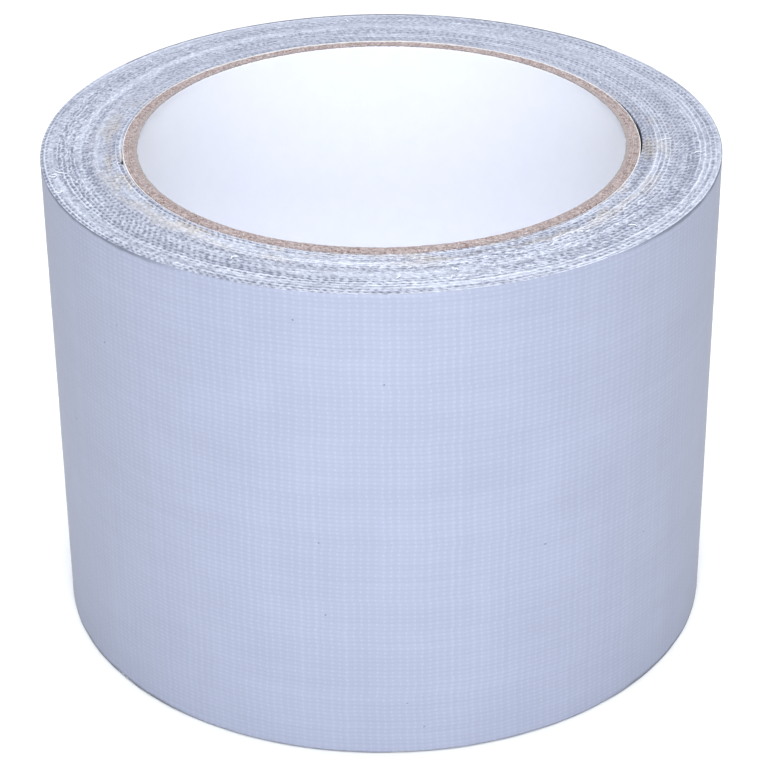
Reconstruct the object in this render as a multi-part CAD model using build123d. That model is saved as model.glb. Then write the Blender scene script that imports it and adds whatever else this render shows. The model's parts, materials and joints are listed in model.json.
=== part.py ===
"""Roll of duct tape on a spiral-wound paper core.

The roll stands on one flat side. The origin is on the core's axis, in the bottom side, and +Z runs
up along the axis. Lengths are millimetres and angles are degrees.

The tape is one strip wound as an Archimedean spiral. Its free end lies at FREE_END_ANGLE on the
back of the roll, and `phi` measures the angle from that end back along the strip, anticlockwise
from above. The outer surface falls by one turn's pitch for each full turn of phi. The last
TAIL_ANGLE of the strip is the peelable tail: a chain of short links, each a laminate of film,
scrim and adhesive, hinged to the next along the line where their outer faces meet.
"""
from build123d import *
import os
from math import cos, radians, sin

# Driving dimensions
TAPE_WIDTH = 78.2
BORE_RADIUS = 38.1

LINER_PLY = 0.20
KRAFT_PLY = 0.375
KRAFT_PLIES = 4
COVER_PLY = 0.15

TURNS = 63
TURN_PITCH = 0.20

FILM = 0.06
SCRIM = 0.04
ADHESIVE = 0.06

FREE_END_ANGLE = 44.0
TAIL_LINKS = 16
LINK_ANGLE = 6.0
LINK_GAP_ANGLE = 0.12

# Worked out from the driving dimensions
KRAFT_RADIUS = BORE_RADIUS + LINER_PLY
COVER_RADIUS = KRAFT_RADIUS + KRAFT_PLIES * KRAFT_PLY
CORE_RADIUS = COVER_RADIUS + COVER_PLY
ROLL_RADIUS = CORE_RADIUS + TURNS * TURN_PITCH
TAIL_ANGLE = TAIL_LINKS * LINK_ANGLE
FULL_TURN = 360.0
ARC_STEP = 6.0

# Depths of the laminate's faces below the strip's outer surface
FILM_FACE = 0.0
SCRIM_FACE = FILM
ADHESIVE_FACE = FILM + SCRIM
TAIL_BACK = FILM + SCRIM + ADHESIVE

PARTS_FOLDER = "parts"


def spiral_point(phi, depth):
    """A point on the strip, at angle phi from the free end and at a depth under the surface."""
    radius = ROLL_RADIUS - TURN_PITCH * phi / FULL_TURN - depth
    angle = radians(FREE_END_ANGLE + phi)
    return (radius * cos(angle), radius * sin(angle))


def spiral_arcs(phi_start, phi_end, depth):
    """The spiral between two angles as a run of short circular arcs."""
    count = max(1, round(abs(phi_end - phi_start) / ARC_STEP))
    step = (phi_end - phi_start) / count
    arcs = []
    for i in range(count):
        start = phi_start + i * step
        ends = spiral_point(start, depth), spiral_point(start + step, depth)
        middle = spiral_point(start + step / 2, depth)
        arcs.append(ThreePointArc(ends[0], middle, ends[1]))
    return arcs


def across(phi, depth_a, depth_b):
    """The straight edge through the strip's thickness at one angle."""
    return Line(spiral_point(phi, depth_a), spiral_point(phi, depth_b))


def strip_layer(phi_start, phi_end, face, back):
    """One layer of the strip between two angles, from depth face to depth back."""
    edges = spiral_arcs(phi_start, phi_end, face)
    edges.append(across(phi_end, face, back))
    edges += spiral_arcs(phi_end, phi_start, back)
    edges.append(across(phi_start, back, face))
    return extrude(make_face(edges), TAPE_WIDTH)


def ply(inner_radius, thickness):
    """One ply of the core: a plain tube as tall as the tape is wide."""
    section = Circle(inner_radius + thickness) - Circle(inner_radius)
    return extrude(section, TAPE_WIDTH)


def core_plies():
    """The paper core, from the bore outwards."""
    plies = {"bore_liner_ply": ply(BORE_RADIUS, LINER_PLY)}
    for i in range(KRAFT_PLIES):
        plies[f"core_kraft_ply_{i + 1}"] = ply(KRAFT_RADIUS + i * KRAFT_PLY, KRAFT_PLY)
    plies["core_cover_ply"] = ply(COVER_RADIUS, COVER_PLY)
    return plies


def wound_turns():
    """All turns under the outermost one, as one solid whose outline steps where the outer turn ends."""
    edges = spiral_arcs(0, FULL_TURN, TURN_PITCH)
    edges.append(across(FULL_TURN, TURN_PITCH, 0))
    section = make_face(edges) - Circle(CORE_RADIUS)
    return extrude(section, TAPE_WIDTH)


def outer_turn():
    """The outermost turn from the tail's root round to where the next turn starts, stuck down."""
    return {
        "outer_turn_film": strip_layer(TAIL_ANGLE, FULL_TURN, FILM_FACE, SCRIM_FACE),
        "outer_turn_scrim": strip_layer(TAIL_ANGLE, FULL_TURN, SCRIM_FACE, ADHESIVE_FACE),
        "outer_turn_adhesive": strip_layer(TAIL_ANGLE, FULL_TURN, ADHESIVE_FACE, TURN_PITCH),
    }


def tail_link(number):
    """One link of the tail; link 1 is next to the outer turn and the last one is the free end."""
    far_side = TAIL_ANGLE - (number - 1) * LINK_ANGLE
    near_end = far_side - LINK_ANGLE
    root = far_side - LINK_GAP_ANGLE
    return {
        f"tail_film_{number}": strip_layer(near_end, root, FILM_FACE, SCRIM_FACE),
        f"tail_scrim_{number}": strip_layer(near_end, root, SCRIM_FACE, ADHESIVE_FACE),
        f"tail_adhesive_{number}": strip_layer(near_end, root, ADHESIVE_FACE, TAIL_BACK),
    }


def all_parts():
    """Every node of the roll, by name."""
    parts = core_plies()
    parts["wound_turns"] = wound_turns()
    parts |= outer_turn()
    for number in range(1, TAIL_LINKS + 1):
        parts |= tail_link(number)
    return parts


def print_hinges():
    """The line of each tail hinge, on the outer surface between two links."""
    for number in range(1, TAIL_LINKS + 1):
        phi = TAIL_ANGLE - (number - 1) * LINK_ANGLE
        x, y = spiral_point(phi, 0)
        print(f"tail hinge {number}: x {x:.4f}, y {y:.4f}")


os.makedirs(PARTS_FOLDER, exist_ok=True)
for name, solid in all_parts().items():
    export_step(solid, f"{PARTS_FOLDER}/{name}.step")
print_hinges()
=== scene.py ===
"""The look of a roll of silver duct tape on a paper core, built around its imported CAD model.

Everything is in metres in the CAD model's frame: the core's axis is +Z and the roll stands on
z = 0, with its front towards -Y.

The tape is one strip wound as a spiral. `turn` is the angle in radians from the strip's free end
back along it, so it passes 2 pi for the second turn in. `along` is the length of tape from the
free end, and `height` is the distance up the tape's width.
"""
import json
from math import atan2, cos, hypot, pi, radians, sin, tau

import bpy
import numpy as np
from mathutils import Matrix, Vector


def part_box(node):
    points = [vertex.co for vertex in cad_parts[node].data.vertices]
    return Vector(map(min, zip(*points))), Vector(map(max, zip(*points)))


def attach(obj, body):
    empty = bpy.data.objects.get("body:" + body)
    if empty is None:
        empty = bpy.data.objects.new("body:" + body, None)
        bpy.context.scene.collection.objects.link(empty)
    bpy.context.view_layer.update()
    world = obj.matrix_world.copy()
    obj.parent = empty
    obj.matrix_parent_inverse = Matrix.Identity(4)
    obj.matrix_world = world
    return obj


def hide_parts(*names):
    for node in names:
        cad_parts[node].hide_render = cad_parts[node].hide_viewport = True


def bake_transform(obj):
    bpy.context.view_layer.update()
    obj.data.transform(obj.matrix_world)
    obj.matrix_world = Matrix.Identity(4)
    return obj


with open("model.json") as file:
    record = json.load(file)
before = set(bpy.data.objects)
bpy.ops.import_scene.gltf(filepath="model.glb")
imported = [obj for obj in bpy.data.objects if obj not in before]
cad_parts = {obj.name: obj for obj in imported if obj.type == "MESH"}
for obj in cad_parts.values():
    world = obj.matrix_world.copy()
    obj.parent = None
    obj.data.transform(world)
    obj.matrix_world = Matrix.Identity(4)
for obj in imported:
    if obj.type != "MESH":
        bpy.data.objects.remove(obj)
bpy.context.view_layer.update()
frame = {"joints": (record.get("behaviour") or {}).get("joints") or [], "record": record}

MM = 0.001

# ---------------------------------------------------------------- sizes, read from the CAD model
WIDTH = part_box("wound_turns")[1].z
BORE_RADIUS = frame["record"]["mounts"][0]["dims"]["r_mm"] * MM
LINER_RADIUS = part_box("bore_liner_ply")[1].x
KRAFT_RADII = [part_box(f"core_kraft_ply_{i}")[1].x for i in (1, 2, 3, 4)]
CORE_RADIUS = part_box("core_cover_ply")[1].x

HINGES = sorted((int(joint["name"].rsplit("_")[-1]), joint["pos_m"]) for joint in frame["joints"])
HINGE_RADII = [hypot(place[0], place[1]) for _, place in HINGES]
HINGE_ANGLES = [atan2(place[1], place[0]) for _, place in HINGES]
LINK_TURN = HINGE_ANGLES[0] - HINGE_ANGLES[1]
FREE_END_ANGLE = HINGE_ANGLES[-1] - LINK_TURN
PITCH = (HINGE_RADII[1] - HINGE_RADII[0]) / LINK_TURN * tau
ROLL_RADIUS = HINGE_RADII[-1] + PITCH * LINK_TURN / tau
TURNS = round((ROLL_RADIUS - CORE_RADIUS) / PITCH)
HINGE_TURNS = [angle - FREE_END_ANGLE for angle in HINGE_ANGLES]
ROOT_TURN = HINGE_TURNS[0] + LINK_TURN / 2
# The tape's film, scrim and adhesive together.
TAPE = 0.16 * MM

# ---------------------------------------------------------------- the cloth under the film
# Yarns up the strip's width, and the distance along it from one to the next.
YARN_ROWS = 109
YARN_ROW = WIDTH / YARN_ROWS
YARN_COLUMN = 1.127 * MM


def strip_radius(turn):
    """Radius of the strip's outer face at a turn angle."""
    return ROLL_RADIUS - PITCH * turn / tau


def strip_along(turn):
    """Length of tape from the free end to a turn angle."""
    return ROLL_RADIUS * turn - PITCH * turn * turn / (2 * tau)


def strip_turn(along):
    """Turn angle at a length of tape from the free end."""
    slope = PITCH / tau
    return (ROLL_RADIUS - np.sqrt(ROLL_RADIUS**2 - 2 * slope * along)) / slope


def strip_points(along, height, depth):
    """Points of the strip at lengths and heights, at a depth under its outer face."""
    turn = strip_turn(along)
    radius = strip_radius(turn) - depth
    angle = FREE_END_ANGLE + turn
    parts = np.broadcast_arrays(radius * np.cos(angle), radius * np.sin(angle), height)
    return np.stack(parts, -1)


# ---------------------------------------------------------------- meshes
def ripple(x, longest, shortest, count, seed):
    """A smooth random wave of x with unit spread, made of sines between two wavelengths."""
    draw = np.random.default_rng(seed)
    lengths = np.geomspace(longest, shortest, count)
    phases = draw.uniform(0, tau, count)
    waves = [np.sin(tau * x / length + phase) for length, phase in zip(lengths, phases)]
    return np.sum(waves, axis=0) / np.sqrt(count / 2)


def round_ripple(angle, waves, seed):
    """A smooth random wave that closes round a full circle, with unit spread."""
    draw = np.random.default_rng(seed)
    phases = draw.uniform(0, tau, len(waves))
    total = np.sum([np.sin(n * angle + phase) for n, phase in zip(waves, phases)], axis=0)
    return total / np.sqrt(len(waves) / 2)


def mesh_object(name, points, faces, material, **attributes):
    """A smooth-shaded mesh piece; each attribute holds a number or a vector for every point."""
    mesh = bpy.data.meshes.new(name)
    mesh.vertices.add(points.size // 3)
    mesh.vertices.foreach_set("co", np.ascontiguousarray(points, np.float32).ravel())
    mesh.loops.add(faces.size)
    mesh.loops.foreach_set("vertex_index", np.ascontiguousarray(faces, np.int32).ravel())
    mesh.polygons.add(len(faces))
    mesh.polygons.foreach_set("loop_start", np.arange(len(faces), dtype=np.int32) * faces.shape[1])
    mesh.materials.append(material)
    mesh.update(calc_edges=True)
    mesh.shade_smooth()
    for key, values in attributes.items():
        is_vector = values.ndim == points.ndim
        made = mesh.attributes.new(key, "FLOAT_VECTOR" if is_vector else "FLOAT", "POINT")
        numbers = np.ascontiguousarray(values, np.float32).ravel()
        made.data.foreach_set("vector" if is_vector else "value", numbers)
    piece = bpy.data.objects.new(name, mesh)
    bpy.context.scene.collection.objects.link(piece)
    return piece


def grid_faces(rows, columns, close_rows=False, close_columns=False):
    """Quads of a grid of points stored row by row."""
    row = np.arange(rows if close_rows else rows - 1)[:, None]
    column = np.arange(columns if close_columns else columns - 1)[None, :]
    next_row, next_column = (row + 1) % rows, (column + 1) % columns
    corners = [row * columns + column, next_row * columns + column,
               next_row * columns + next_column, row * columns + next_column]
    quads = [np.broadcast_to(corner, (row.size, column.size)) for corner in corners]
    return np.stack(quads, -1).reshape(-1, 4)


def strip_piece(name, points, along, height, material):
    """A piece of the tape that knows each point's place on the strip, in millimetres."""
    strip = np.zeros(points.shape)
    strip[..., 0], strip[..., 1] = along / MM, height / MM
    return mesh_object(name, points, grid_faces(*points.shape[:2]), material, strip=strip)


# ---------------------------------------------------------------- shader arithmetic
class Value:
    """A shader socket that can be used in arithmetic."""

    def __init__(self, tree, socket):
        self.tree, self.socket = tree, socket

    def math(self, operation, *others):
        """The result of one of Blender's math operations on this and other values."""
        node = self.tree.nodes.new("ShaderNodeMath")
        node.operation = operation
        for place, value in zip(node.inputs, (self, *others)):
            if isinstance(value, Value):
                self.tree.links.new(value.socket, place)
            else:
                place.default_value = value
        return Value(self.tree, node.outputs[0])

    def __add__(self, other):
        return self.math("ADD", other)

    def __sub__(self, other):
        return self.math("SUBTRACT", other)

    def __mul__(self, other):
        return self.math("MULTIPLY", other)

    def __truediv__(self, other):
        return self.math("DIVIDE", other)

    def ramp(self, low, high, to_low=0.0, to_high=1.0):
        """A smooth step from to_low below low to to_high above high."""
        node = self.tree.nodes.new("ShaderNodeMapRange")
        node.interpolation_type = "SMOOTHSTEP"
        self.tree.links.new(self.socket, node.inputs["Value"])
        settings = {"From Min": low, "From Max": high, "To Min": to_low, "To Max": to_high}
        for name, value in settings.items():
            node.inputs[name].default_value = value
        return Value(self.tree, node.outputs["Result"])


class Surface:
    """A Principled material whose inputs are built up by node arithmetic."""

    def __init__(self, name, **settings):
        self.material = bpy.data.materials.new(name)
        self.material.use_nodes = True
        self.tree = self.material.node_tree
        self.shader = self.tree.nodes["Principled BSDF"]
        for key, value in settings.items():
            self.shader.inputs[key.replace("_", " ")].default_value = value

    def node(self, kind, **inputs):
        """A new node with its inputs set to numbers or linked to values."""
        made = self.tree.nodes.new(kind)
        for key, value in inputs.items():
            if isinstance(value, Value):
                self.tree.links.new(value.socket, made.inputs[key])
            else:
                made.inputs[key].default_value = value
        return made

    def axes(self, socket):
        """The three parts of a vector socket."""
        split = self.tree.nodes.new("ShaderNodeSeparateXYZ")
        self.tree.links.new(socket, split.inputs[0])
        return [Value(self.tree, part) for part in split.outputs]

    def place(self):
        """The point's place in the object, in millimetres."""
        coordinates = self.tree.nodes.new("ShaderNodeTexCoord")
        return [part / MM for part in self.axes(coordinates.outputs["Object"])]

    def strip(self):
        """The point's place on the tape, in millimetres: along and height."""
        attribute = self.tree.nodes.new("ShaderNodeAttribute")
        attribute.attribute_name = "strip"
        return self.axes(attribute.outputs["Vector"])[:2]

    def wear(self):
        """How pale and proud the wound edge is at a point."""
        attribute = self.tree.nodes.new("ShaderNodeAttribute")
        attribute.attribute_name = "wear"
        return Value(self.tree, attribute.outputs["Fac"])

    def noise(self, x, y, z, detail=2.0, roughness=0.5):
        """Smooth noise from 0 to 1 of a place whose units are the noise's own grain size."""
        where = self.node("ShaderNodeCombineXYZ", X=x, Y=y, Z=z)
        made = self.node("ShaderNodeTexNoise", Scale=1.0, Detail=detail, Roughness=roughness)
        self.tree.links.new(where.outputs[0], made.inputs["Vector"])
        return Value(self.tree, made.outputs["Fac"])

    def random(self, x, y, z=0.0):
        """A random number from 0 to 1 that is steady over each whole-numbered cell."""
        where = self.node("ShaderNodeCombineXYZ", X=x, Y=y, Z=z)
        made = self.tree.nodes.new("ShaderNodeTexWhiteNoise")
        self.tree.links.new(where.outputs[0], made.inputs["Vector"])
        return Value(self.tree, made.outputs["Value"])

    def mix(self, share, low, high):
        """A colour between two colours."""
        made = self.tree.nodes.new("ShaderNodeMix")
        made.data_type = "RGBA"
        self.tree.links.new(share.socket, made.inputs["Factor"])
        for place, colour in ((made.inputs["A"], low), (made.inputs["B"], high)):
            if isinstance(colour, tuple):
                place.default_value = (*colour, 1.0)
            else:
                self.tree.links.new(colour, place)
        return made.outputs["Result"]

    def colour(self, socket):
        """Links the base colour."""
        self.tree.links.new(socket, self.shader.inputs["Base Color"])

    def roughness(self, value):
        """Links the roughness."""
        self.tree.links.new(value.socket, self.shader.inputs["Roughness"])

    def bump(self, value, height):
        """Relief from a value of 0 to 1, with its height in metres."""
        made = self.node("ShaderNodeBump", Height=value, Strength=1.0, Distance=height)
        self.tree.links.new(made.outputs[0], self.shader.inputs["Normal"])


# ---------------------------------------------------------------- materials
# All lengths in the materials are in millimetres, apart from the heights of bumps.
HALF_WIDTH = WIDTH / MM / 2
# Lengths of tape between which painted shade darkens the film's turned-in edges: the first two and
# the last two of each four are where it fades in and out.
SHADED_RIM_STRETCHES = ((118, 130, 166, 180), (240, 256, 288, 300))
# Dark specks lie one to a square cell of this size, in a few of the cells.
SPECK_CELL = 9.0


def film_material():
    """Silver polyethylene film over the cloth: weave tone and painted weave shading, calender
    streaks and a soft gloss.

    Besides the weave it has a painted shade line in places along its turned-in edges, and a few
    dark specks.
    """
    film = Surface("silver_film", Specular_IOR_Level=0.25, Metallic=0.06)
    along, height = film.strip()
    row, column = height / (YARN_ROW / MM), along / (YARN_COLUMN / MM)
    valley_shade = (row * tau).math("COSINE").ramp(0.4, 1.0)
    rib_highlight = (column * tau).math("COSINE").ramp(0.3, -1.0)
    row_top = (row * tau).math("COSINE").ramp(-0.45, -1.0)
    on_knot = row_top * (column * tau).math("COSINE").ramp(-0.6, -1.0)
    own = film.random(row.math("FLOOR"), column.math("FLOOR"))
    over = (row * pi).math("SINE") * (column * pi).math("SINE")
    knot = on_knot * (own * 0.7 + over.ramp(-0.5, 0.5) * 0.6 + 0.1)
    cloud = film.noise(along / 14.0, height / 9.0, 3.1, detail=3.0)
    streak = film.noise(along / 30.0, height / 0.9, 7.7, detail=1.0)
    bar = film.noise(along / 0.8, height / 60.0, 1.7, detail=1.0)
    # Painted highlight on the rib and knot tops and painted shade in the row valleys; the knots,
    # cloud, streaks and bars also vary in tone at random.
    tone = cloud * 0.40 + streak * 0.22 + bar * 0.20 + rib_highlight * 0.08 + knot * 0.36 - valley_shade * 0.16
    face = film.mix(tone.ramp(0.0, 1.1), (0.290, 0.315, 0.415), (0.382, 0.415, 0.541))
    # Painted shade: a thin dark line just inside the film's turned-in rims, in two stretches along
    # the tape.
    off_middle = (height - HALF_WIDTH).math("ABSOLUTE")
    rim_shade = off_middle.ramp(HALF_WIDTH - 0.65, HALF_WIDTH - 0.25)
    left, right = [along.ramp(a, b) * along.ramp(d, c) for a, b, c, d in SHADED_RIM_STRETCHES]
    broken = film.noise(along / 9.0, 0.0, 4.4, detail=2.0).ramp(0.22, 0.46)
    rim_shade = rim_shade * (left + right) * broken * 0.8
    cell_x, cell_y = (along / SPECK_CELL).math("FLOOR"), (height / SPECK_CELL).math("FLOOR")
    off_x = along / SPECK_CELL - cell_x - film.random(cell_x, cell_y, 1.0)
    off_y = height / SPECK_CELL - cell_y - film.random(cell_x, cell_y, 2.0)
    dot = (off_x * off_x + off_y * off_y).math("SQRT").ramp(0.022, 0.010)
    dot = dot * film.random(cell_x, cell_y, 3.0).ramp(0.93, 0.94) * 0.75
    film.colour(film.mix(dot, film.mix(rim_shade, face, (0.13, 0.145, 0.19)), (0.10, 0.11, 0.14)))
    grain = film.noise(along / 0.12, height / 0.12, 1.3, detail=2.0)
    film.roughness(grain * 0.10 + cloud * 0.08 + 0.42)
    film.bump(grain, 0.004 * MM)
    return film.material


def edge_material():
    """The wound edge: film, yarn ends and adhesive of every turn, over the wear of the mesh.

    Adhesive tints it tan in patches near the core, and the crevice beside the core is painted
    near-black as shade.
    """
    edge = Surface("tape_edges", Roughness=0.55, Specular_IOR_Level=0.35)
    x, y, z = edge.place()
    radius = (x * x + y * y).math("SQRT")
    # Blender's modulo keeps the sign of its input, so a full turn is added before the second one.
    turned = y.math("ARCTAN2", x) - FREE_END_ANGLE
    turned = turned.math("MODULO", tau) + tau
    turned = turned.math("MODULO", tau)
    pitch = PITCH / MM
    depth = (radius * -1.0 + ROLL_RADIUS / MM - turned * (pitch / tau)) / pitch
    layer = depth.math("FLOOR")
    within = depth - layer
    angle = turned + layer * tau
    along = angle * (ROLL_RADIUS / MM) - angle * angle * (pitch / tau / 2)
    wander = edge.noise(along / 9.0, layer * 0.37, 0.0, detail=1.0) * 1.6
    yarn_end = ((along / (YARN_COLUMN / MM) + wander) * tau).math("COSINE").ramp(0.0, 0.9)
    film_line = within.ramp(0.30, 0.10) + within.ramp(0.90, 1.0) * 0.6
    cloth = (within - 0.52).math("ABSOLUTE").ramp(0.30, 0.08) * yarn_end
    speck = edge.noise(x / 0.20, y / 0.20, 0.0, detail=2.0, roughness=0.7) - 0.5
    bright = edge.wear() + film_line * 0.08 + cloth * 0.12 + speck * 0.8 - 0.06
    grey = edge.mix(bright.ramp(-0.10, 1.10), (0.140, 0.156, 0.222), (0.71, 0.75, 0.88))
    near_core = radius.ramp(CORE_RADIUS / MM + 6.5, CORE_RADIUS / MM + 0.8)
    dusty = edge.noise(x / radius * 5.0, y / radius * 5.0, radius / 2.6, detail=3.0)
    tint = near_core * dusty.ramp(0.44, 0.64) * (y / radius).ramp(0.55, 0.05)
    tan = edge.mix(bright.ramp(-0.10, 1.10), (0.18, 0.155, 0.138), (0.72, 0.675, 0.63))
    worn = edge.mix(tint * 0.65, grey, tan)
    # Painted shade: more than 0.8 mm below the rim, the crevice walls turn near-black.
    crevice_shade = (z - HALF_WIDTH).math("ABSOLUTE").ramp(HALF_WIDTH - 0.2, HALF_WIDTH - 0.8)
    edge.colour(edge.mix(crevice_shade, worn, (0.03, 0.03, 0.035)))
    edge.bump(bright, 0.03 * MM)
    return edge.material


def adhesive_material():
    """Rubbery grey adhesive with the cloth showing through it."""
    glue = Surface("adhesive", Specular_IOR_Level=0.5)
    along, height = glue.strip()
    row, column = height / (YARN_ROW / MM), along / (YARN_COLUMN / MM)
    warp = (row * tau).math("COSINE").ramp(0.3, -0.7)
    weft = (column * tau).math("COSINE").ramp(0.4, -0.6)
    smear = glue.noise(along / 5.0, height / 3.0, 0.0, detail=4.0)
    share = warp * 0.4 + weft * 0.4 + smear * 0.5 - 0.2
    glue.colour(glue.mix(share.ramp(0.0, 1.0), (0.50, 0.49, 0.44), (0.74, 0.73, 0.69)))
    glue.roughness(smear * 0.35 + 0.22)
    glue.bump(smear, 0.03 * MM)
    return glue.material


def yarn_material():
    """White polyester and cotton yarn."""
    yarn = Surface("scrim_cloth", Roughness=0.75, Specular_IOR_Level=0.3)
    x, y, z = yarn.place()
    twist = yarn.noise(x / 0.05, y / 0.05, z / 0.05, detail=2.0)
    yarn.colour(yarn.mix(twist.ramp(0.3, 0.7), (0.76, 0.79, 0.84), (0.93, 0.94, 0.96)))
    yarn.bump(twist, 0.01 * MM)
    return yarn.material


def kraft_material():
    """Recycled grey-brown paperboard: pulp fibres, flecks and darker ply lines."""
    kraft = Surface("kraft_board", Roughness=0.9, Specular_IOR_Level=0.15)
    x, y, z = kraft.place()
    fibre = kraft.noise(x / 0.5, y / 0.5, z / 0.5, detail=5.0, roughness=0.7)
    fleck = kraft.noise(x / 0.30, y / 0.30, z / 0.30 + 9.0, detail=2.0).ramp(0.56, 0.68)
    dark = kraft.noise(x / 0.55, y / 0.55, z / 0.55 + 31.0, detail=2.0).ramp(0.60, 0.70)
    body = kraft.mix(fibre.ramp(0.35, 0.65), (0.245, 0.190, 0.185), (0.455, 0.385, 0.385))
    pale = kraft.mix(fleck * 0.55, body, (0.72, 0.66, 0.65))
    kraft.colour(kraft.mix(dark * 0.75, pale, (0.16, 0.085, 0.065)))
    kraft.bump(fibre, 0.12 * MM)
    return kraft.material


def paper_material(name, low, high, cut, cut_share):
    """White paper with a faint mottle, and the browner fibre that shows on its cut edges."""
    paper = Surface(name, Roughness=0.85, Specular_IOR_Level=0.2,
                    Sheen_Weight=0.5, Sheen_Roughness=0.6)
    x, y, z = paper.place()
    mottle = paper.noise(x / 2.5, y / 2.5, z / 2.5, detail=4.0, roughness=0.6)
    fibre = paper.noise(x / 0.35, y / 0.35, z / 0.35, detail=3.0, roughness=0.6)
    face = paper.mix(mottle.ramp(0.3, 0.7), low, high)
    off_middle = (z - HALF_WIDTH).math("ABSOLUTE")
    end = (off_middle - fibre * 0.25).ramp(HALF_WIDTH - 0.30, HALF_WIDTH - 0.22)
    dark, light = [tuple(part * tone for part in cut) for tone in (0.78, 1.22)]
    frayed = paper.mix(fibre.ramp(0.35, 0.65), dark, light)
    paper.colour(paper.mix(end * cut_share * fibre.ramp(0.85, 0.65), face, frayed))
    paper.bump(fibre, 0.02 * MM)
    return paper.material


def plain_material(name, colour, roughness):
    """The studio's own surfaces, which aren't part of the object."""
    studio = Surface(name, Roughness=roughness, Base_Color=(*colour, 1.0))
    return studio.material


FILM = film_material()
EDGE = edge_material()
GLUE = adhesive_material()
KRAFT = kraft_material()
YARN = yarn_material()
LINER = paper_material("liner_paper", (0.885, 0.903, 0.985), (0.90, 0.916, 0.99),
                       cut=(0.26, 0.210, 0.208), cut_share=1.0)
COVER = paper_material("cover_paper", (0.82, 0.82, 0.83), (0.92, 0.92, 0.92),
                       cut=(0.45, 0.39, 0.37), cut_share=0.36)


# ---------------------------------------------------------------- the film's weave
# Heights of the film's relief over rows, columns and the knots where they cross, and of its slow
# swell. Every other knot lies lower, at a share of the full height.
ROW_RIDGE = 0.009 * MM
COLUMN_RIDGE = 0.026 * MM
KNOT = 0.022 * MM
UNDER_KNOT = 0.4
SWELL = 0.012 * MM
# The spread of the yarns' places: whole columns and rows, single knots, and slow waves.
COLUMN_SLIP, COLUMN_KNOT_SLIP, COLUMN_WAVE = 0.05 * MM, 0.02 * MM, 0.08 * MM
ROW_SLIP, ROW_KNOT_SLIP, ROW_WAVE = 0.02 * MM, 0.01 * MM, 0.05 * MM
# How far the film's rim is turned in, on the outermost turn and on the one under the tail.
RIM, RIM_UNDER_TAIL = 0.08 * MM, 0.15 * MM


def weave(columns, rows, seed):
    """The cloth at each half column and half row: its relief, and its slips along and up the tape.

    Odd half columns and rows are the tops of yarns, and where two cross is a knot.
    """
    draw = np.random.default_rng(seed)
    column, row = np.asarray(columns)[:, None], np.asarray(rows)[None, :]
    on_row, on_column = row % 2, column % 2
    over = (row // 2 + column // 2) % 2
    uneven = draw.uniform(0.5, 1.2, (column.size, row.size))
    uneven = uneven * (UNDER_KNOT + (1 - UNDER_KNOT) * over)
    ribs = COLUMN_RIDGE * on_column * draw.uniform(0.6, 1.3, (column.size, 1))
    relief = ROW_RIDGE * on_row + ribs + KNOT * on_row * on_column * uneven
    relief[:, [0, -1]] = 0.0
    slip = draw.normal(0, COLUMN_SLIP, (column.size, 1))
    slip = slip + draw.normal(0, COLUMN_KNOT_SLIP, relief.shape)
    slip = slip + COLUMN_WAVE * ripple(row * YARN_ROW, 40 * MM, 4 * MM, count=5, seed=8)
    rise = draw.normal(0, ROW_SLIP, (1, row.size))
    rise = rise + draw.normal(0, ROW_KNOT_SLIP, relief.shape)
    rise = rise + ROW_WAVE * ripple(column * YARN_COLUMN, 90 * MM, 6 * MM, count=5, seed=9)
    slip[[0, -1]] = rise[[0, -1]] = 0.0
    rise[:, [0, -1]] = 0.0
    return relief, slip, rise


def film_piece(name, first_column, last_column, seed):
    """A stretch of the roll's outer film between two cloth columns, with both rims turned in."""
    columns = np.arange(2 * first_column, 2 * last_column + 1)
    rows = np.arange(2 * YARN_ROWS + 1)
    along, height = (columns * YARN_COLUMN / 2)[:, None], rows * YARN_ROW / 2
    relief, slip, rise = weave(columns, rows, seed)
    swell = SWELL * ripple(along, 60 * MM, 7 * MM, count=6, seed=11)
    swell = swell * ripple(height, 50 * MM, 12 * MM, count=4, seed=12)
    points = strip_points(along + slip, height + rise, -(relief + swell))
    rim = np.where(along < strip_along(tau), RIM, RIM_UNDER_TAIL)
    inner = strip_points(along, np.array([[0.0, WIDTH]]), rim)
    points = np.concatenate([inner[:, :1], points, inner[:, 1:]], 1)
    piece = strip_piece(name, points, along, np.concatenate([[0.0], height, [WIDTH]]), FILM)
    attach(piece, "roll")
    return piece


def column_at(turn):
    """The whole cloth column nearest to a turn angle."""
    return round(float(strip_along(turn)) / YARN_COLUMN)


# The film reaches from the tail's root once round the roll, in three pieces.
SPLITS = [column_at(turn) for turn in (ROOT_TURN, radians(126), radians(326), ROOT_TURN + tau)]


def roll_film():
    """The outermost turn's film, and below the tail the film of the turn under it."""
    names = ("film_back_left", "film_front", "film_back_right")
    made = [film_piece(name, SPLITS[i], SPLITS[i + 1], 21 + i) for i, name in enumerate(names)]
    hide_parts("outer_turn_film")


# ---------------------------------------------------------------- the peelable tail
# A share of a link on each side of its hinge, at which tail_piece finds two points of the strip
# that it does not use.
BEND_REACH = 0.44
CUT_WANDER = 0.10 * MM
# The adhesive side shows the cloth more strongly, and lies a little inside the strip's thickness
# so that its ridges reach less far into the roll.
BACK_RELIEF, BACK_LIFT = 1.5, 2.5 * KNOT


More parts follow.
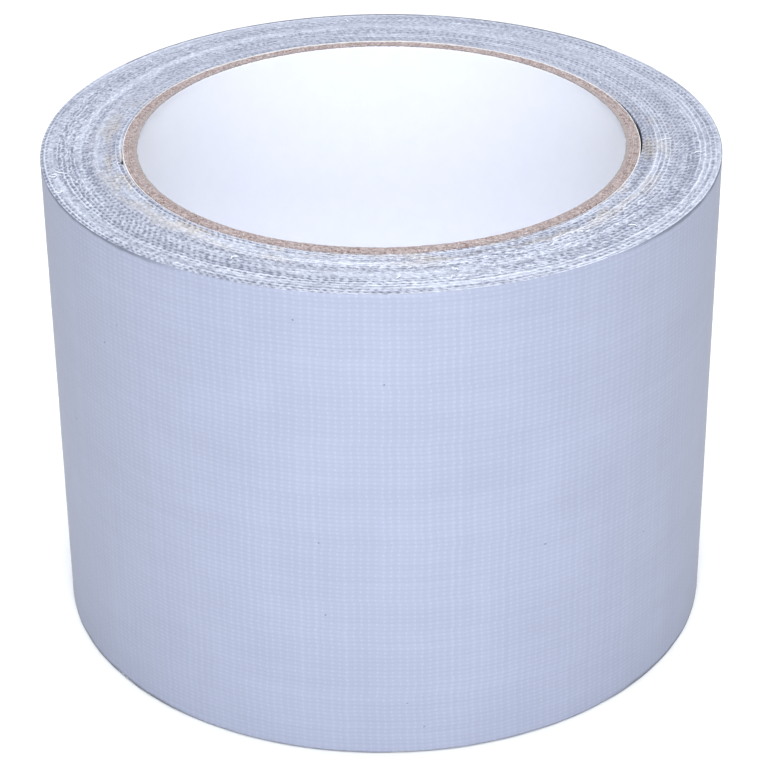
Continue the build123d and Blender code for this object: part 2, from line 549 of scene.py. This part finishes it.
def tail_piece(number):
    """The strip across one tail hinge, from the middle of a link to the middle of the next.

    The film's piece wraps round the strip's rims and, on the last link, its cut end. The adhesive
    side is a piece of its own.
    """
    last = number == len(HINGES)
    hinge = HINGE_TURNS[number - 1]
    end_column = 0 if last else column_at(hinge - LINK_TURN / 2)
    columns = np.arange(2 * end_column, 2 * column_at(hinge + LINK_TURN / 2) + 1)
    rows = np.arange(2 * YARN_ROWS + 1)
    along = np.broadcast_to((columns * YARN_COLUMN / 2)[:, None], (columns.size, rows.size)).copy()
    height = rows * YARN_ROW / 2
    if last:
        along[0] = CUT_WANDER * ripple(height, 9 * MM, 0.5 * MM, count=8, seed=91)
    relief, slip, rise = weave(columns, rows, 40 + number)
    outer = strip_points(along + slip, height + rise, -relief)
    inner = strip_points(along + slip, height + rise, TAPE + relief * BACK_RELIEF - BACK_LIFT)
    film = np.concatenate([inner[:, :1], outer, inner[:, -1:]], 1)
    film_along = np.concatenate([along[:, :1], along, along[:, -1:]], 1)
    film_height = np.concatenate([[0.0], height, [WIDTH]])
    if last:
        film = np.concatenate([film[:1], film])
        film[0, 1:-1] = inner[0]
        film_along = np.concatenate([film_along[:1], film_along])
    parts = [(f"tape_tail_{number}", film, film_along, film_height, FILM, "silver_film"),
             (f"tape_tail_back_{number}", inner[:, ::-1], along[:, ::-1], height[::-1],
              GLUE, "adhesive")]
    reach = LINK_TURN * BEND_REACH
    ends = [strip_points(strip_along(hinge + side), WIDTH / 2, 0.0) for side in (reach, -reach)]
    for name, points, lengths, heights, material, slot in parts:
        piece = strip_piece(name, points, lengths, heights, material)
        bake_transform(piece)
    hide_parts(f"tail_film_{number}")
    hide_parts(f"tail_scrim_{number}", f"tail_adhesive_{number}")


# ---------------------------------------------------------------- the wound edge
EDGE_COLUMNS = 1500
LINES_PER_TURN = 2
# Where the tape stands off the core: angle, width and spread to each side.
GAPS = ((radians(6), 0.40 * MM, radians(18)), (radians(168), 0.11 * MM, radians(32)),
        (radians(191), 0.60 * MM, radians(2.0)))
CLOSED_GAP = 0.02 * MM
# The distance over which the turns beside a gap crowd together.
FADE = 2.2 * MM
# Turns wear in bunches: the turns to a bunch, and how many bunches have numbers of their own.
BUNCH = 3.4
BUNCHES = 40
# Grain of each pattern in the wear: its size along the turns and across them.
WILD_GRAIN = (22 * MM, 2.5 * MM)
DRIFT_GRAIN = (16 * MM, 1.6 * MM)
SHAKE_GRAIN = (0.32 * MM, 0.26 * MM)
BAND_GRAIN = (14 * MM, 0.45 * MM)
LINE_GRAIN = (20 * MM, 0.5 * MM)
WORM_GRAIN = (0.24 * MM, 0.20 * MM)
RIM_GRAIN = (11 * MM, 1 * MM)
FINE_GRAIN = (0.16 * MM, 0.11 * MM)
STREAK_GRAIN = (3.5 * MM, 0.13 * MM)
# Relief of the wound edge: of a turn's middle, of the wear, how far the bottom side is drawn in,
# and the share of turns that stand proud.
RIDGE = 0.008 * MM
WEAR_RELIEF = 0.13 * MM
BOTTOM_INSET = 0.06 * MM
PROUD_SHARE = 0.16
# Its outer rim turns down behind the film, and its inner one into the crevice beside the core.
SKIRT, SKIRT_INSET = 0.4 * MM, 0.02 * MM
CREVICE = 7 * MM


def smooth_step(x, low, high):
    """0 at low, 1 at high and smooth between."""
    share = np.clip((x - low) / (high - low), 0, 1)
    return share * share * (3 - 2 * share)


def core_gap(angle):
    """Width of the crevice between the core and the tape, which opens in a few places."""
    opened = np.full_like(angle, CLOSED_GAP)
    for middle, width, spread in GAPS:
        off = (angle - middle + pi) % tau - pi
        opened += width * np.clip(1 - (off / spread) ** 2, 0, None)
    return opened


def ring_noise(radius, grain, seed):
    """Smooth noise of unit spread over the wound edge, with a grain along and across the turns."""
    along, across = grain
    bins = 160
    step = (ROLL_RADIUS - CORE_RADIUS) * 1.1 / bins
    draw = np.random.default_rng(seed)
    field = np.fft.fft2(draw.normal(size=(bins, EDGE_COLUMNS)))
    round_step = tau * (ROLL_RADIUS + CORE_RADIUS) / 2 / EDGE_COLUMNS
    fade = (np.fft.fftfreq(bins, step)[:, None] * across) ** 2
    fade = fade + (np.fft.fftfreq(EDGE_COLUMNS, round_step)[None, :] * along) ** 2
    field = np.fft.ifft2(field * np.exp(-2 * pi**2 * fade)).real
    field /= field.std()
    place = np.clip((ROLL_RADIUS - radius) / step, 0, bins - 2)
    low = place.astype(int)
    column = np.arange(radius.shape[1]) % EDGE_COLUMNS
    share = place - low
    return field[low, column] * (1 - share) + field[low + 1, column] * share


def edge_wear(angle, radius):
    """How pale and proud each point of the wound edge is: about 0 in a pit and 1 on a ridge.

    Each bunch of turns has a row of pits between its yarn ends, and pale lines part the bunches.
    Worms are short curls of frayed yarn. On the top it is all calmer and darker at the back.
    """
    draw = np.random.default_rng(19)
    own_phase, own_line = draw.random(BUNCHES), draw.normal(size=BUNCHES)
    wild = smooth_step(ring_noise(radius, WILD_GRAIN, 1), -0.8, 1.3)
    drift = 0.30 * ring_noise(radius, DRIFT_GRAIN, 2)
    shake = ring_noise(radius, SHAKE_GRAIN, 3) * (0.05 + 0.17 * wild)
    first = 4
    bunch = (ROLL_RADIUS - radius) / (BUNCH * PITCH) + drift + shake + first
    number = bunch.astype(int)
    share = bunch - number
    middle_radius = ROLL_RADIUS - (np.arange(BUNCHES) + 0.5 - first) * BUNCH * PITCH
    yarn_ends = np.round(tau * middle_radius / YARN_COLUMN)
    phase = angle / tau * yarn_ends[number] + own_phase[number] + 0.35 * share
    phase = phase + ring_noise(radius, SHAKE_GRAIN, 4) * (0.06 + 0.26 * wild)
    band = ring_noise(radius, BAND_GRAIN, 5)
    pit = smooth_step(np.cos(tau * phase), -0.35, 0.75) * smooth_step(abs(share - 0.5), 0.46, 0.20)
    pit = pit * smooth_step(band, 2.0, -0.8)
    line = smooth_step(np.minimum(share, 1 - share), 0.15, 0.03)
    line = line * smooth_step(ring_noise(radius, LINE_GRAIN, 6) + own_line[number] * 0.7, -0.3, 0.8)
    worm = smooth_step(abs(ring_noise(radius, WORM_GRAIN, 7)), 0.55, 0.05)
    depth = (ROLL_RADIUS - radius) / PITCH - (angle - FREE_END_ANGLE) % tau / tau
    rim = smooth_step(depth, 1.1, 0.5) + smooth_step(abs(depth - 3.2), 0.8, 0.3)
    rim = rim * smooth_step(ring_noise(np.full_like(radius, ROLL_RADIUS), RIM_GRAIN, 8), -0.6, 0.4)
    fine = ring_noise(radius, FINE_GRAIN, 9)
    streak = ring_noise(radius, STREAK_GRAIN, 10)
    wear = 0.43 - 0.36 * pit + 0.36 * line + 0.18 * worm * (0.3 + wild) + 0.30 * rim
    wear = wear + 0.03 * band + 0.05 * streak + 0.09 * fine
    calm = 1 - 0.36 * smooth_step(np.sin(angle), -0.5, 0.6)
    return 0.5 + (wear - 0.5) * calm - 0.03 * np.sin(angle)


def turn_heights(depth, angle):
    """How far each turn's edge stands above the side's plane, by turn and angle.

    Each turn has a step of its own, drifts slowly and wavers finely, and a few stand proud in
    places. The heights are in millimetres until the last line.
    """
    draw = np.random.default_rng(5)
    turns = int(depth.max() / PITCH) + 2
    steps = draw.normal(0, 1, turns)
    proud = (draw.random(turns) < PROUD_SHARE) * draw.uniform(0.4, 1.0, turns)
    index = np.clip((depth / PITCH).astype(int), 0, turns - 1)
    drift = np.stack([round_ripple(angle, (1, 2, 3, 5), 300 + i) for i in range(turns)])
    fine = np.stack([round_ripple(angle, (19, 31, 47, 71, 103), 500 + i) for i in range(turns)])
    lift = 0.008 * steps[:, None] + 0.010 * drift + 0.006 * fine
    lift += 0.055 * proud[:, None] * np.clip(drift, 0, 1.4)
    return lift[index] * MM


def wound_edge(side, upward):
    """One flat side of the wound tape in two rings, with the edge of every turn as a ridge.

    The outer ring leaves out its first faces under the tail, so that it stays clear of the tail.
    """
    turned = np.linspace(0, tau, EDGE_COLUMNS + 1)
    angle = FREE_END_ANGLE + turned
    lines = TURNS * LINES_PER_TURN + 1
    depth = (np.arange(lines) + 0.25) * PITCH / LINES_PER_TURN
    radius = strip_radius(turned)[None, :] - depth[:, None]
    wall = CORE_RADIUS + core_gap(angle)[None, :]
    radius = radius + (wall - CORE_RADIUS) * np.exp(-(radius - CORE_RADIUS) / FADE)
    radius = np.maximum(radius, wall)
    wear = edge_wear(angle if upward else -angle, radius)
    ridge = np.where(np.arange(lines) % LINES_PER_TURN == 0, RIDGE, -RIDGE)[:, None]
    lift = turn_heights(depth, angle) + ridge + WEAR_RELIEF * (np.clip(wear, 0, 1) - 0.6)
    outward = 1 if upward else -1
    base = WIDTH if upward else 0.0
    if not upward:
        lift = np.minimum(lift - BOTTOM_INSET, 0.0)
    height = base + outward * lift
    skirt = np.full_like(angle, base - outward * SKIRT)
    crevice = np.full_like(angle, base - outward * CREVICE)
    radius = np.concatenate([radius[:1] - SKIRT_INSET, radius, radius[-1:]])
    height = np.concatenate([[skirt], height, [crevice]])
    wear = np.concatenate([wear[:1], wear, wear[-1:]])
    points = np.stack([radius * np.cos(angle), radius * np.sin(angle), height], -1)
    half = (lines // 2) // LINES_PER_TURN * LINES_PER_TURN
    made = []
    for part, rows in (("outer", slice(half + 1)), ("inner", slice(half, None))):
        shape = points[rows].shape[:2]
        faces = grid_faces(*shape)
        if part == "outer":
            row = np.repeat(np.arange(shape[0] - 1), EDGE_COLUMNS)
            column = np.tile(np.arange(EDGE_COLUMNS), shape[0] - 1)
            under_tail = turned[column] < ROOT_TURN
            faces = faces[~(under_tail & (row < 2 * LINES_PER_TURN))]
        if upward:
            faces = faces[:, ::-1]
        name = f"wound_edge_{side}_{part}"
        piece = mesh_object(name, points[rows], faces, EDGE, wear=wear[rows])
        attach(piece, "roll")
        made.append(piece)
    return made


# ---------------------------------------------------------------- the core
CORE_COLUMNS = 900
# How far the plies stand proud of the tape on top, at the back and at the front.
LINER_RISE = (0.0, 0.17 * MM)
KRAFT_RISE = (0.0, 0.21 * MM)
COVER_RISE = (0.12 * MM, -0.12 * MM)
FOOT_INSET = 0.02 * MM
# How far the burr on the top cut reaches into the bore, and how far down the liner it begins.
BURR = 0.46 * MM
BURR_HEIGHT = 0.6 * MM


def ply_tube(name, node, inner, outer, material, fuzz, rise, seed, burr=0.0):
    """One ply of the core as a closed tube, with a cut edge of loose fibres at each end.

    `rise` is how far it stands proud on top, at the back and at the front. `burr` is how far the
    top's inner rim is pushed into the bore, at each angle.
    """
    angle = np.linspace(0, tau, CORE_COLUMNS, endpoint=False)
    draw = np.random.default_rng(seed)
    # Places across the cut, from the inner side to the outer one, and how far each bows out.
    across = (0.0, 0.18, 0.5, 0.82, 1.0)
    crown = (-0.5, 0.35, 0.6, 0.35, -0.5)
    top_lift = rise[0] + (rise[1] - rise[0]) * (0.5 - 0.5 * np.sin(angle))
    loop = []
    for side, base, lift, inset in ((1, WIDTH, top_lift, burr), (-1, 0.0, -FOOT_INSET, 0.0)):
        ragged = fuzz * round_ripple(angle, (7, 13, 29, 53, 97, 151, 211), seed + side)
        for share, bow in zip(across[::side], crown):
            radius = inner + (outer - inner) * share + draw.normal(0, 0.10 * fuzz, CORE_COLUMNS)
            radius = radius - inset * (1 - share)
            fibres = ragged * 0.6 + fuzz * bow
            height = base + side * (lift + fibres + draw.normal(0, 0.35 * fuzz, CORE_COLUMNS))
            loop.append((radius, np.maximum(height, 0.0)))
        if side > 0:
            walls = [(outer, WIDTH * share) for share in (0.97, 0.75, 0.5, 0.25, 0.03)]
        else:
            walls = [(inner, WIDTH * share) for share in np.linspace(0.03, 0.97, 12)]
            walls.append((inner, WIDTH - BURR_HEIGHT))
        loop += [(np.full(CORE_COLUMNS, r), np.full(CORE_COLUMNS, z)) for r, z in walls]
    points = np.stack([np.stack([r * np.cos(angle), r * np.sin(angle), z], -1) for r, z in loop])
    faces = grid_faces(*points.shape[:2], close_rows=True, close_columns=True)
    piece = mesh_object(name, points, faces, material)
    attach(piece, "roll")
    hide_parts(node)


def core():
    """The liner, with a burr on its left and right, the four kraft plies and the cover ply."""
    angle = np.linspace(0, tau, CORE_COLUMNS, endpoint=False)
    burr = BURR * abs(np.cos(angle)) ** 5
    burr = burr * (1 + 0.07 * round_ripple(angle, (5, 11, 23, 41, 67, 97), 770))
    ply_tube("liner", "bore_liner_ply", BORE_RADIUS, LINER_RADIUS, LINER,
             fuzz=0.03 * MM, rise=LINER_RISE, seed=700, burr=burr)
    inner = LINER_RADIUS
    for i, outer in enumerate(KRAFT_RADII):
        ply_tube(f"kraft_ply_{i + 1}", f"core_kraft_ply_{i + 1}", inner, outer, KRAFT,
                 fuzz=0.045 * MM, rise=KRAFT_RISE, seed=710 + 10 * i)
        inner = outer
    ply_tube("cover_ply", "core_cover_ply", inner, CORE_RADIUS, COVER,
             fuzz=0.03 * MM, rise=COVER_RISE, seed=760)


# ---------------------------------------------------------------- loose threads
THREAD_SIDES = 6
TOP_THREAD, BOTTOM_THREAD, CUT_THREAD = 0.14 * MM, 0.03 * MM, 0.06 * MM
# Heights of lying threads over the top side, where they arch up, and over the floor.
LYING_LIFT, LYING_ARCH, BOTTOM_LIFT = 0.10 * MM, 0.10 * MM, 0.01 * MM
# A direction that no thread follows.
ASIDE = (0.31, 0.17, 0.94)
# The frayed yarns start this far inside the cut end, and this deep under the film.
FRAY_ROOT, FRAY_DEPTH = 0.1 * MM, 0.08 * MM


def thread_tube(path, thickness):
    """Points and quads of a thin thread along a path, tapered and open at its ends."""
    path = np.asarray(path)
    ahead = np.gradient(path, axis=0)
    ahead /= np.linalg.norm(ahead, axis=1)[:, None]
    level = np.cross(ahead, ASIDE)
    level /= np.linalg.norm(level, axis=1)[:, None]
    upright = np.cross(ahead, level)
    turn = np.linspace(0, tau, THREAD_SIDES, endpoint=False)[None, :, None]
    taper = np.full(len(path), thickness / 2)
    taper[[0, -1]] *= 0.3
    ring = level[:, None] * np.cos(turn) + upright[:, None] * np.sin(turn)
    points = path[:, None] + ring * taper[:, None, None]
    return points.reshape(-1, 3), grid_faces(len(path), THREAD_SIDES, close_columns=True)


def threads(name, paths, thickness, body):
    """Several loose threads as one piece."""
    points, faces, count = [], [], 0
    for path in paths:
        tube, quads = thread_tube(path, thickness)
        points.append(tube)
        faces.append(quads + count)
        count += len(tube)
    piece = mesh_object(name, np.concatenate(points), np.concatenate(faces), YARN)
    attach(piece, body)


def lying_path(angle, radius, bend, length, turn):
    """A thread lying on the wound edge: it starts at a place, heads off at a turn and bends."""
    steps = np.linspace(0, 1, 14)
    heading = angle + turn + bend * steps
    step = length / len(steps)
    x = radius * cos(angle) + np.cumsum(np.cos(heading)) * step
    y = radius * sin(angle) + np.cumsum(np.sin(heading)) * step
    return x, y, LYING_LIFT + LYING_ARCH * np.sin(pi * steps)


# Threads with a chosen place: angle (degrees), radius (mm), bend (radians), length (mm) and turn
# from the radius (radians).
LOOPS = ((194.0, 51.3, 5.6, 3.2, 0.6), (200.5, 51.5, 5.0, 2.4, 0.5), (192.3, 50.6, 1.5, 2.6, 1.7))
STRAYS = ((358.0, 42.9, 0.5, 2.1, 0.1), (359.0, 43.9, 0.4, 1.1, 1.4), (191.6, 40.6, 1.2, 1.0, 0.4))


def loose_threads():
    """Yarn loops and stray fibres on the wound edges, and the frayed yarns of the cut end."""
    draw = np.random.default_rng(77)
    marked = [(radians(a), r * MM, b, n * MM, t) for a, r, b, n, t in LOOPS + STRAYS]
    for name, count, upward in (("threads_top", 16, True), ("threads_bottom", 18, False)):
        lint = [(draw.uniform(0, tau), draw.uniform(CORE_RADIUS + 1 * MM, ROLL_RADIUS - 1.5 * MM),
                 draw.normal(0, 1.6), draw.uniform(0.5, 1.6) * MM, draw.uniform(0, tau))
                for _ in range(count)]
        paths = []
        for angle, radius, bend, length, turn in lint + (marked if upward else []):
            x, y, lift = lying_path(angle, radius, bend, length, turn)
            z = WIDTH + lift if upward else np.full_like(x, BOTTOM_LIFT)
            paths.append(np.stack([x, y, z], -1))
        threads(name, paths, TOP_THREAD if upward else BOTTOM_THREAD, "roll")
    paths = []
    for row in range(2, YARN_ROWS - 2):
        length, bend = draw.uniform(0.15, 0.8) * MM, draw.normal(0, 0.25)
        share = np.linspace(0, 1, 6)
        height = (row + 0.5) * YARN_ROW + bend * length * share**2
        paths.append(strip_points(FRAY_ROOT - (length + FRAY_ROOT) * share, height, FRAY_DEPTH))
    threads("threads_cut_end", paths, CUT_THREAD, f"tail_link_{len(HINGES)}")


# ---------------------------------------------------------------- studio
# The camera's place, focal length and small turns are fitted to the roll's outlines in the photo.
FOCAL_PER_WIDTH = 3.4618
CAMERA_DISTANCE = 0.4304
CAMERA_ELEVATION = radians(28.79)
CAMERA_ROLL, CAMERA_YAW, CAMERA_PITCH = 0.0089124, -0.0001454, -0.0088767
SENSOR = 36.0
# The floor reaches this far each way, and lies this far below the roll's foot.
FLOOR_REACH = 12.0
FLOOR_GAP = 0.0002


def camera():
    """The camera, in front of the roll and above it, turned a little off the roll's middle."""
    centre = Vector((0, 0, WIDTH / 2))
    away = Vector((0, -cos(CAMERA_ELEVATION), sin(CAMERA_ELEVATION)))
    place = centre + away * CAMERA_DISTANCE
    forward, right = -away, Vector((1, 0, 0))
    up = right.cross(forward)
    yaw = Matrix.Rotation(CAMERA_YAW, 3, up)
    forward, right = yaw @ forward, yaw @ right
    pitch = Matrix.Rotation(CAMERA_PITCH, 3, right)
    forward, up = pitch @ forward, pitch @ up
    roll = Matrix.Rotation(CAMERA_ROLL, 3, forward)
    right, up = roll @ right, roll @ up
    data = bpy.data.cameras.new("camera")
    data.sensor_width, data.lens = SENSOR, SENSOR * FOCAL_PER_WIDTH
    data.clip_start, data.clip_end = 0.01, 20
    made = bpy.data.objects.new("camera", data)
    turn = Matrix((right, up, -forward)).transposed().to_4x4()
    made.matrix_world = Matrix.Translation(place) @ turn
    bpy.context.scene.collection.objects.link(made)
    bpy.context.scene.camera = made


def soft_light(name, place, target, size, power, colour):
    """A square softbox facing a target."""
    data = bpy.data.lights.new(name, "AREA")
    data.shape, data.size, data.energy, data.color = "SQUARE", size, power, colour
    made = bpy.data.objects.new(name, data)
    made.location = place
    made.rotation_euler = (Vector(target) - Vector(place)).to_track_quat("-Z", "Y").to_euler()
    bpy.context.scene.collection.objects.link(made)


def overhead_light(direction, spread, strength, colour):
    """A wide soft light from above that is even over the whole floor."""
    data = bpy.data.lights.new("overhead", "SUN")
    data.angle, data.energy, data.color = spread, strength, colour
    made = bpy.data.objects.new("overhead", data)
    made.rotation_euler = Vector(direction).to_track_quat("-Z", "Y").to_euler()
    bpy.context.scene.collection.objects.link(made)


def studio():
    """A pale floor, a white surround and soft lights."""
    corners = np.array([(x, y, -FLOOR_GAP) for x, y in ((-1, -1), (1, -1), (1, 1), (-1, 1))])
    corners[:, :2] *= FLOOR_REACH
    floor = mesh_object("studio_floor", corners, np.array([[0, 1, 2, 3]]),
                        plain_material("studio_floor", (0.90, 0.90, 0.90), roughness=0.7))
    world = bpy.data.worlds.new("studio")
    world.use_nodes = True
    background = world.node_tree.nodes["Background"]
    background.inputs["Color"].default_value = (1.0, 0.99, 0.985, 1)
    background.inputs["Strength"].default_value = 0.15
    bpy.context.scene.world = world
    cool = (0.955, 0.98, 1.0)
    soft_light("key", (0.02, -0.95, 0.95), target=(0, 0, 0.04), size=0.6, power=9.5, colour=cool)
    soft_light("front", (0, -0.70, 0.16), target=(0, 0, 0.02), size=0.3, power=2.35, colour=cool)
    overhead_light((0, -0.16, -1), spread=radians(58), strength=3.05, colour=(0.975, 0.99, 1.0))


# ---------------------------------------------------------------- build
roll_film()
for number in range(1, len(HINGES) + 1):
    tail_piece(number)
top_outer, _ = wound_edge("top", True)
bottom_outer, _ = wound_edge("bottom", False)
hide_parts("wound_turns")
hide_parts("outer_turn_scrim", "outer_turn_adhesive")
core()
loose_threads()
camera()
studio()
bpy.context.scene.view_settings.view_transform = "Standard"
